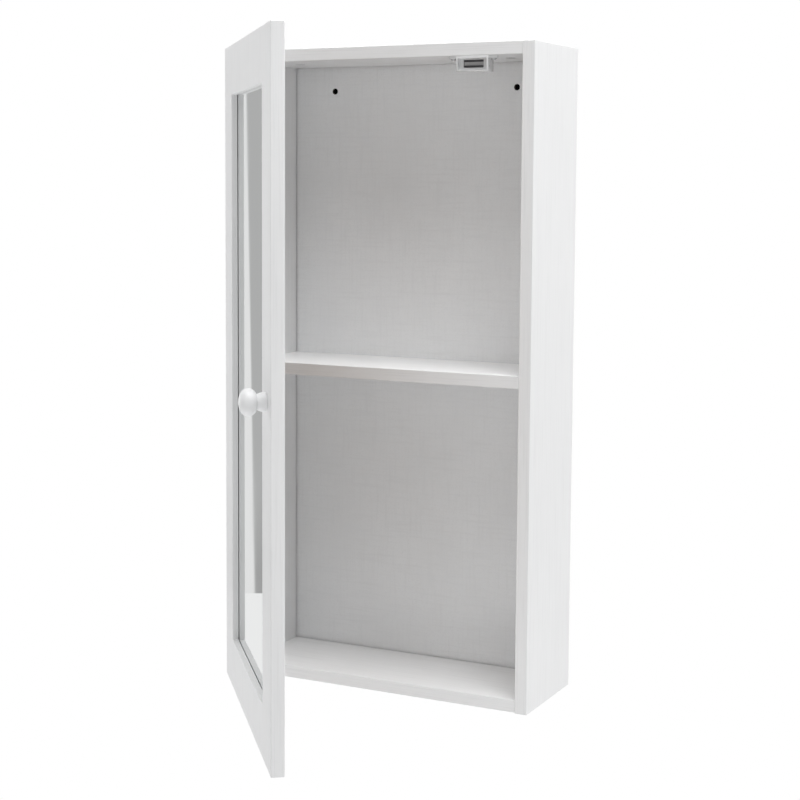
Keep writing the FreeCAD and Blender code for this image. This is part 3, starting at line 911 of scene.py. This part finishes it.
boltShape = {
    "pointLength": 1.3 * mm,
    "pointRadii": (0.48, 0.8),         # shares of the thread's radius
    "threadRadius": 2.5 * mm,
    "threadStart": 1.5 * mm,
    "threadLength": 8.5 * mm,
    "runOut": 0.3 * mm,
    "pitch": 1.2 * mm,
    "collar": (3.0 * mm, 1.2 * mm),
    "shankRadius": 2.0 * mm,
    "neckRadius": 1.5 * mm,
    "neckLength": 3.5 * mm,
    "headRadius": 2.8 * mm,
    "headLength": 3.5 * mm,
    "headWidest": 1.6 * mm,            # from where the head starts
    "headEnd": 0.65,                   # share of the head's radius
}


def makeCamBolts():
    # the threaded end is at the origin and the head is up +Z
    shape = boltShape
    boxes = solidBoxes("cam_bolts")
    length = boxes[0][1].x - boxes[0][0].x
    radius, thread = shape["threadRadius"], shape["threadLength"]
    threadEnd = thread - shape["runOut"]
    collarRadius, collarHeight = shape["collar"]
    head = length - shape["headLength"]
    neck = head - shape["neckLength"]
    neckEnd = (shape["neckRadius"], head)
    widest = (shape["headRadius"], head + shape["headWidest"])
    startShare, endShare = shape["pointRadii"]
    outline = [(0, 0), (startShare * radius, 0), (endShare * radius, shape["pointLength"])]
    outline += threadRings(radius, shape["threadStart"], threadEnd, shape["pitch"])
    outline += [
        (shape["shankRadius"], threadEnd),
        (shape["shankRadius"], thread),
        (collarRadius, thread),
        (collarRadius, thread + collarHeight),
        (shape["shankRadius"], thread + collarHeight),
        (shape["shankRadius"], neck),
        (shape["neckRadius"], neck + mm),
        neckEnd,
        *arcThrough(neckEnd, widest, (shape["headEnd"] * shape["headRadius"], length), 8),
        (0, length),
    ]
    bolt = turnOnLathe("camBolts", outline, 28)
    smoothOver(bolt, 30)
    places = []
    for low, high in boxes:
        middle = (low + high) / 2
        start = low.x if middle.x < 0 else high.x
        inward = 1 if middle.x < 0 else -1
        places.append(facing((inward, 0, 0), (start, middle.y, middle.z)))
    finishPiece(setOut(bolt, "camBolts", places), "cabinet", "bolt_steel", ("cam_bolts",), zincPlate)


dowelShape = {"sides": 36, "fluteDepth": 0.22 * mm, "chamfer": 0.6 * mm}


def makeDowels():
    # fluted beech pegs: every third face of the round is pressed in, and both ends are chamfered
    shape = dowelShape
    boxes = solidBoxes("carcass_dowels")
    low, high = boxes[0]
    radius, length = (high.z - low.z) / 2, high.x - low.x
    dowel = addRod("dowels", radius, (0, 0, 0), (0, 0, length), shape["sides"])
    softenEdges(dowel, shape["chamfer"], 1, 60)
    flute = math.tau / (shape["sides"] / 3)

    def inFlute(middle, normal):
        return abs(normal.z) < 0.1 and math.atan2(middle.y, middle.x) % flute < flute / 3

    editFaces(dowel, inFlute)
    bpy.ops.mesh.extrude_region_shrink_fatten(TRANSFORM_OT_shrink_fatten={"value": -shape["fluteDepth"]})
    bpy.ops.mesh.select_all(action="SELECT")
    bpy.ops.mesh.remove_doubles(threshold=0.002 * mm)
    stopEditing()
    smoothOver(dowel, 25)
    places = []
    for low, high in boxes:
        middle = (low + high) / 2
        places.append(facing((1, 0, 0), (low.x, middle.y, middle.z)))
    finishPiece(setOut(dowel, "dowels", places), "cabinet", "dowel_wood", ("carcass_dowels",), beech)


makeCamDiscs()
makeCamBolts()
makeDowels()


# Magnetic catch

catchShape = {
    "bodyWidth": 33.2 * mm,
    "bodyArris": 0.4 * mm,
    "mouthRim": 1.3 * mm,
    "mouthRoof": 2.7 * mm,
    "mouthDepth": 4.2 * mm,
    "mouthArris": 0.5 * mm,
    "pocketPlay": 0.35 * mm,
    "earHeight": 2.8 * mm,
    "earFront": 1.0 * mm,
    "earDepth": 7.0 * mm,
    "earCorner": 3.0 * mm,
    "earArris": 0.4 * mm,
    "slotWidth": 3.4 * mm,
    "slotLength": 4.6 * mm,
}


def stretchSlot(slot, centre, way, run):
    def onItsSide(middle, normal):
        return (middle.y - centre.y) * way > 0.05 * mm and abs(normal.z) < 0.5

    editFaces(slot, onItsSide)
    bpy.ops.transform.translate(value=(0, way * run, 0))
    stopEditing()


def makeCatchHousing():
    shape = catchShape
    low, high = nodeBox("catch_housing")
    middleX = (low.x + high.x) / 2
    half = shape["bodyWidth"] / 2
    housing = addBox("catchHousing", (middleX - half, low.y, low.z), (middleX + half, high.y, high.z))
    softenEdges(housing, shape["bodyArris"], 3)
    earTop = high.z - shape["earHeight"]
    earBack = low.y + shape["earFront"] + shape["earDepth"]
    ears = addBox("catchEars", (low.x, low.y + shape["earFront"], earTop), (high.x, earBack, high.z))
    editEdges(ears, lambda one, other: abs(one.z - other.z) > mm)
    bpy.ops.mesh.bevel(offset=shape["earCorner"], segments=8, affect="EDGES")
    stopEditing()
    editEdges(ears, lambda one, other: max(one.z, other.z) < earTop + 0.1 * mm)
    bpy.ops.mesh.bevel(offset=shape["earArris"], segments=3, affect="EDGES")
    stopEditing()
    for screwLow, screwHigh in solidBoxes("catch_screws"):
        middle = (screwLow + screwHigh) / 2
        run = (shape["slotLength"] - shape["slotWidth"]) / 2
        bottom, top = (middle.x, middle.y, earTop - mm), (middle.x, middle.y, high.z + mm)
        slot = addRod("earSlot", shape["slotWidth"] / 2, bottom, top)
        for way in (-1, 1):
            stretchSlot(slot, middle, way, run)
        carve(ears, slot)
    carve(housing, ears, "UNION")
    rim = shape["mouthRim"]
    mouth = addBox(
        "catchMouth",
        (middleX - half + rim, low.y - mm, low.z + rim),
        (middleX + half - rim, low.y + shape["mouthDepth"], high.z - shape["mouthRoof"]),
    )
    softenEdges(mouth, shape["mouthArris"], 2)
    carve(housing, mouth)
    plateLow, plateHigh = nodeBox("catch_pole_plates")
    play = Vector((1, 1, 1)) * shape["pocketPlay"]
    pocketLow = plateLow - play
    pocketLow.y = low.y + mm
    carve(housing, addBox("magnetPocket", pocketLow, plateHigh + play))
    smoothOver(housing, 30)
    finishPiece(housing, "cabinet", "catch_plastic", ("catch_housing",), catchPlastic)


plateShape = {"corner": 0.8 * mm, "arris": 0.22 * mm}


def makePolePlates():
    # two stamped plates with rounded corners
    boxes = solidBoxes("catch_pole_plates")
    plates = []
    for low, high in boxes:
        plate = addBox("catchPolePlates", low, high)
        editEdges(plate, lambda one, other: abs(one.z - other.z) > 0.5 * mm)
        bpy.ops.mesh.bevel(offset=plateShape["corner"], segments=4, affect="EDGES")
        stopEditing()
        softenEdges(plate, plateShape["arris"], 3)
        plates.append(plate)
    bpy.ops.object.select_all(action="DESELECT")
    for plate in plates:
        plate.select_set(True)
    bpy.ops.object.join()
    joined = bpy.context.object
    joined.name = "catchPolePlates"
    smoothOver(joined)
    finishPiece(joined, "magnet_pack", "pole_steel", ("catch_pole_plates",), poleSteelWithPaintedShade)


magnetShape = {"arris": 0.35 * mm, "faceRim": 0.25 * mm, "faceRise": -0.08 * mm}


def makeMagnet():
    low, high = nodeBox("catch_magnet")
    magnet = addBox("catchMagnet", low, high)
    softenEdges(magnet, magnetShape["arris"], 1)
    editFaces(magnet, lambda middle, normal: normal.y < -0.9)
    bpy.ops.mesh.inset(thickness=magnetShape["faceRim"], depth=magnetShape["faceRise"])
    stopEditing()
    smoothOver(magnet, 25)
    finishPiece(magnet, "magnet_pack", "magnet_ferrite", ("catch_magnet",), ferrite)


makeCatchHousing()
makePolePlates()
makeMagnet()


# Mirror and its clips

mirrorShape = {"seatGap": 0.45 * mm, "arris": 0.6 * mm}


def makeMirror():
    low, high = nodeBox("mirror_glass", swingShut)
    low.y += mirrorShape["seatGap"]
    mirror = addBox("mirrorGlass", low, high)
    for finish in (groundEdge, silvering, mirrorPaint):
        mirror.data.materials.append(finish)
    softenEdges(mirror, mirrorShape["arris"], 1)
    for number, way in ((1, -1), (2, 1)):
        editFaces(mirror, lambda middle, normal: normal.y * way > 0.95)
        mirror.active_material_index = number
        bpy.ops.object.material_slot_assign()
        stopEditing()
    settle(mirror, swingOut)
    finishPiece(mirror, "door", "mirror", ("mirror_glass",))


clipShape = {
    "length": 18.0 * mm,
    "width": 11.0 * mm,
    "thickness": 1.2 * mm,
    "corner": 2.7 * mm,
    "footFrom": 3.75 * mm,
    "footTo": 1.25 * mm,
    "footDrop": 0.5 * mm,
    "footWidth": 5.5 * mm,
    "footArris": 0.15 * mm,
    "bore": 1.7 * mm,
    "faceRim": 0.3 * mm,
    "arris": 0.18 * mm,
}


def makeClipModel():
    # lies flat with its screw hole at the origin and its foot towards +X
    shape = clipShape
    tail = shape["length"] / 3
    tip = shape["length"] - tail
    half = shape["width"] / 2
    clip = addBox("mirrorClips", (-tail, -half, 0), (tip, half, shape["thickness"]))
    editEdges(clip, lambda one, other: abs(one.z - other.z) > 0.5 * mm)
    bpy.ops.mesh.bevel(offset=shape["corner"], segments=8, affect="EDGES")
    stopEditing()
    editFaces(clip, lambda middle, normal: normal.z > 0.9)
    bpy.ops.mesh.inset(thickness=shape["faceRim"], depth=0)
    stopEditing()
    foot = addBox(
        "clipFoot",
        (tip - shape["footFrom"], -shape["footWidth"] / 2, -shape["footDrop"]),
        (tip - shape["footTo"], shape["footWidth"] / 2, shape["thickness"] / 2),
    )
    softenEdges(foot, shape["footArris"], 2)
    carve(clip, foot, "UNION")
    carve(clip, addRod("clipBore", shape["bore"], (0, 0, -mm), (0, 0, 3 * mm)))
    softenEdges(clip, shape["arris"], 2, 50)
    smoothOver(clip, 30)
    return clip


def makeMirrorClips():
    mirrorLow, mirrorHigh = nodeBox("mirror_glass", swingShut)
    centre = (mirrorLow + mirrorHigh) / 2
    backFace = nodeBox("door_frame", swingShut)[1].y
    places = []
    for low, high in solidBoxes("mirror_clips", swingShut):
        middle = (low + high) / 2
        acrossDoor = high.x - low.x > high.z - low.z
        side = (centre.x - middle.x) if acrossDoor else (centre.z - middle.z)
        way = math.copysign(1, side)
        fromMiddle = way * clipShape["length"] / 6
        if acrossDoor:
            screwHole = Vector((middle.x - fromMiddle, backFace, middle.z))
            spin = 0 if way > 0 else math.pi
        else:
            screwHole = Vector((middle.x, backFace, middle.z - fromMiddle))
            spin = -way * math.pi / 2
        places.append(swingOut @ facing((0, 1, 0), screwHole, spin))
    clips = setOut(makeClipModel(), "mirrorClips", places)
    finishPiece(clips, "door", "clip_plastic", ("mirror_clips",), clipPlastic)


makeMirror()
makeMirrorClips()


# Knob

knobShape = {
    "headHeight": 16.2 * mm,       # where the head is widest
    "rim": (7.0 * mm, 56),         # radius and degrees of the round towards the dome
    "back": (7.8 * mm, 72),        # the same towards the waist
    "footRadius": 7.9 * mm,
    "footEdge": (8.5 * mm, 1.2 * mm),
    "footMiddle": (8.1 * mm, 6.0 * mm),
    "boreRadius": 2.05 * mm,
    "boreDepth": 12.0 * mm,
    "steps": 72,
}


def makeKnob():
    # turned about +Z from its foot on the door, then stood out from the door's face
    shape = knobShape
    low, high = nodeBox("knob", swingShut)
    length = high.y - low.y
    headRadius = (high.x - low.x) / 2
    widest = (headRadius, shape["headHeight"])

    def roundFromWidest(curve, share, way):
        radius, degrees = curve
        turn = math.radians(degrees * share)
        return widest[0] - radius * (1 - math.cos(turn)), widest[1] + way * radius * math.sin(turn)

    waist = roundFromWidest(shape["back"], 1, -1)
    rimEnd = roundFromWidest(shape["rim"], 1, 1)
    rise = length - rimEnd[1]
    domeRadius = (rimEnd[0] ** 2 + rise ** 2) / (2 * rise)
    halfTurn = math.asin(rimEnd[0] / domeRadius) / 2
    domeMiddle = (domeRadius * math.sin(halfTurn), length - domeRadius * (1 - math.cos(halfTurn)))
    outline = [
        (0, shape["boreDepth"]),
        (shape["boreRadius"], shape["boreDepth"]),
        (shape["boreRadius"], 0),
        (shape["footRadius"], 0),
        (0.6 * shape["footRadius"] + 0.4 * shape["footEdge"][0], 0.25 * shape["footEdge"][1]),
        shape["footEdge"],
        *arcThrough(shape["footEdge"], shape["footMiddle"], waist, 8),
        *arcThrough(waist, roundFromWidest(shape["back"], 0.5, -1), widest, 12),
        *arcThrough(widest, roundFromWidest(shape["rim"], 0.5, 1), rimEnd, 10),
        *arcThrough(rimEnd, domeMiddle, (0, length), 14),
    ]
    knob = turnOnLathe("turnedKnob", outline, shape["steps"])
    smoothOver(knob, 40)
    middle = (low + high) / 2
    settle(knob, swingOut @ facing((0, -1, 0), (middle.x, high.y, middle.z)))
    finishPiece(knob, "door", "knob_white", ("knob",), knobLacquer)


makeKnob()


# Floor, light and camera

studio = {
    "floorDrop": 0.9,          # metres below the cabinet
    "floorReach": 4.05,
    "floorGlow": 0.45,
    "paper": ((0.77, 0.77, 0.77), (0.74, 0.74, 0.74)),
    "mirroredFloor": 0.88,
    "holeShade": 5.0 * mm,     # radius of the painted shade disc behind each screw hole
    "holeShadeTone": 0.004,
    "aim": (0.0, -0.12, -0.28),
    "lightDistance": 2.4,
    "sweepLevel": 0.8,         # the white sweep behind the cabinet
    "sweepEdge": (45.97, -0.0149),     # its left edge: degrees from straight back, and its lean
    "frontLevel": 0.28,        # the grey studio, in front and behind
    "backLevel": 0.44,
    "wallFade": (-0.3, 0.5),   # from the front's grey to the back's
    "footLevel": 0.37,         # where the studio's wall meets its floor
    "footHeight": -0.229,
    "footFade": 0.05,
    "sweepFade": (0.2, 0.3),
    "edgeFade": 0.0005,
}

softboxes = {
    # degrees to the right of straight in front and above level, width and height in metres, watts
    "leftLight": (-100, 5, 1.0, 1.6, 13.5),
    "frontLight": (10, 5, 1.0, 1.6, 3),
    "rightBackLight": (115, 5, 1.0, 1.6, 3),
    "overheadLight": (20, 80, 2.0, 2.0, 46),
    "highRightLight": (75, 70, 1.6, 1.4, 45),
}


def addFloor():
    bpy.ops.object.select_all(action="DESELECT")
    level = cadBounds[0].z - studio["floorDrop"]
    bpy.ops.mesh.primitive_circle_add(
        vertices=96, radius=studio["floorReach"], fill_type="NGON", location=(0, 0, level)
    )
    floor = bpy.context.object
    floor.name = "floor"
    paper, tree, shader, place = newFinish("paleFloor", 0.8)
    tone = addBlend(tree, addRange(tree, addNoise(tree, place, 1.5, 3), 0, 1), *studio["paper"])
    tree.links.new(tone, shader.inputs["Base Color"])
    shader.inputs["Emission Color"].default_value = (1, 1, 1, 1)
    shader.inputs["Emission Strength"].default_value = studio["floorGlow"]
    rays = tree.nodes.new("ShaderNodeLightPath")
    surface = shader.outputs[0]
    for kind, brightness in (("Is Glossy Ray", studio["mirroredFloor"]), ("Is Camera Ray", 1.0)):
        plain = tree.nodes.new("ShaderNodeEmission")
        plain.inputs["Strength"].default_value = brightness
        either = tree.nodes.new("ShaderNodeMixShader")
        tree.links.new(rays.outputs[kind], either.inputs["Fac"])
        tree.links.new(surface, either.inputs[1])
        tree.links.new(plain.outputs[0], either.inputs[2])
        surface = either.outputs[0]
    tree.links.new(surface, tree.nodes["Material Output"].inputs["Surface"])
    floor.data.materials.append(paper)


def addHoleShades():
    # painted shade: a dark one-sided disc behind each of the two screw holes stands in for the shade there; the
    # discs face the cabinet only
    shade, tree, shader = newFinish("wallHoleShade", 1.0)[:3]
    shader.inputs["Base Color"].default_value = (*[studio["holeShadeTone"]] * 3, 1)
    shader.inputs["Specular IOR Level"].default_value = 0
    clear = tree.nodes.new("ShaderNodeBsdfTransparent")
    either = tree.nodes.new("ShaderNodeMixShader")
    surface = tree.nodes.new("ShaderNodeNewGeometry")
    tree.links.new(surface.outputs["Backfacing"], either.inputs["Fac"])
    tree.links.new(shader.outputs[0], either.inputs[1])
    tree.links.new(clear.outputs[0], either.inputs[2])
    tree.links.new(either.outputs[0], tree.nodes["Material Output"].inputs["Surface"])
    wallMount = next(mount for mount in frame["record"]["mounts"] if mount["name"] == "wall_screws")
    centre = Vector(wallMount["pos_m"])
    half = wallMount["dims"]["spacing_x_mm"] * mm / 2
    for side in (-1, 1):
        bpy.ops.mesh.primitive_circle_add(
            vertices=32,
            radius=studio["holeShade"],
            fill_type="NGON",
            location=centre + Vector((side * half, mm, 0)),
            rotation=(math.pi / 2, 0, 0),
        )
        disc = bpy.context.object
        disc.name = "wallHoleShade" + ("Left" if side < 0 else "Right")
        disc.data.materials.append(shade)


def addSoftbox(name, across, up, width, height, power):
    across, up = math.radians(across), math.radians(up)
    way = Vector((math.sin(across) * math.cos(up), -math.cos(across) * math.cos(up), math.sin(up)))
    place = Vector(studio["aim"]) + way * studio["lightDistance"]
    bpy.ops.object.light_add(type="AREA", location=place)
    lamp = bpy.context.object
    lamp.name = name
    lamp.data.shape = "RECTANGLE"
    lamp.data.size = width
    lamp.data.size_y = height
    lamp.data.energy = power
    lamp.rotation_euler = (-way).to_track_quat("-Z", "Y").to_euler()


def addSurround():
    # plain white to the camera; around it a grey studio with a white sweep behind the cabinet
    world = bpy.data.worlds.new("studio")
    bpy.context.scene.world = world
    world.use_nodes = True
    tree = world.node_tree
    tree.nodes.clear()
    out = tree.nodes.new("ShaderNodeOutputWorld")
    way = tree.nodes.new("ShaderNodeTexCoord").outputs["Generated"]
    parts = tree.nodes.new("ShaderNodeSeparateXYZ")
    tree.links.new(way, parts.inputs[0])

    def grey(level):
        return level, level, level

    depth = addRange(tree, parts.outputs["Y"], 0, 1, *studio["wallFade"])
    wall = addBlend(tree, depth, grey(studio["frontLevel"]), grey(studio["backLevel"]))
    footTop = studio["footHeight"] + studio["footFade"]
    foot = addRange(tree, parts.outputs["Z"], 1, 0, studio["footHeight"], footTop)
    wall = addBlend(tree, foot, wall, grey(studio["footLevel"]))
    degrees, lean = studio["sweepEdge"]
    across = math.radians(degrees)
    edge = tree.nodes.new("ShaderNodeVectorMath")
    edge.operation = "DOT_PRODUCT"
    edge.inputs[1].default_value = (math.cos(across), math.sin(across), lean)
    tree.links.new(way, edge.inputs[0])
    inSweep = addRange(tree, edge.outputs["Value"], 0, 1, -studio["edgeFade"], studio["edgeFade"])
    behind = addRange(tree, parts.outputs["Y"], 0, 1, *studio["sweepFade"])
    both = tree.nodes.new("ShaderNodeMath")
    both.operation = "MULTIPLY"
    tree.links.new(inSweep, both.inputs[0])
    tree.links.new(behind, both.inputs[1])
    around = tree.nodes.new("ShaderNodeBackground")
    tree.links.new(addBlend(tree, both.outputs[0], wall, grey(studio["sweepLevel"])), around.inputs["Color"])
    seen = tree.nodes.new("ShaderNodeBackground")
    seen.inputs["Color"].default_value = (1, 1, 1, 1)
    rays = tree.nodes.new("ShaderNodeLightPath")
    either = tree.nodes.new("ShaderNodeMixShader")
    tree.links.new(rays.outputs["Is Camera Ray"], either.inputs["Fac"])
    tree.links.new(around.outputs[0], either.inputs[1])
    tree.links.new(seen.outputs[0], either.inputs[2])
    tree.links.new(either.outputs[0], out.inputs["Surface"])


cameraSetting = {
    "place": (0.7595, -1.619, -0.0932),
    "down": 5.23,              # degrees below level
    "left": 27.95,             # degrees to the left of straight at the cabinet
    "roll": -0.17,
    "lens": 76.64,
    "shift": (0.075, -0.081),
}


def addCamera():
    setting = cameraSetting
    bpy.ops.object.camera_add(location=setting["place"])
    camera = bpy.context.object
    turns = (90 - setting["down"], setting["roll"], setting["left"])
    camera.rotation_euler = [math.radians(turn) for turn in turns]
    camera.data.sensor_width = 36
    camera.data.lens = setting["lens"]
    camera.data.shift_x, camera.data.shift_y = setting["shift"]
    camera.data.clip_start = 0.02
    bpy.context.scene.camera = camera


addFloor()
addHoleShades()
addSurround()
for name, values in softboxes.items():
    addSoftbox(name, *values)
addCamera()
bpy.context.scene.view_settings.view_transform = "Standard"
print("stage ready")
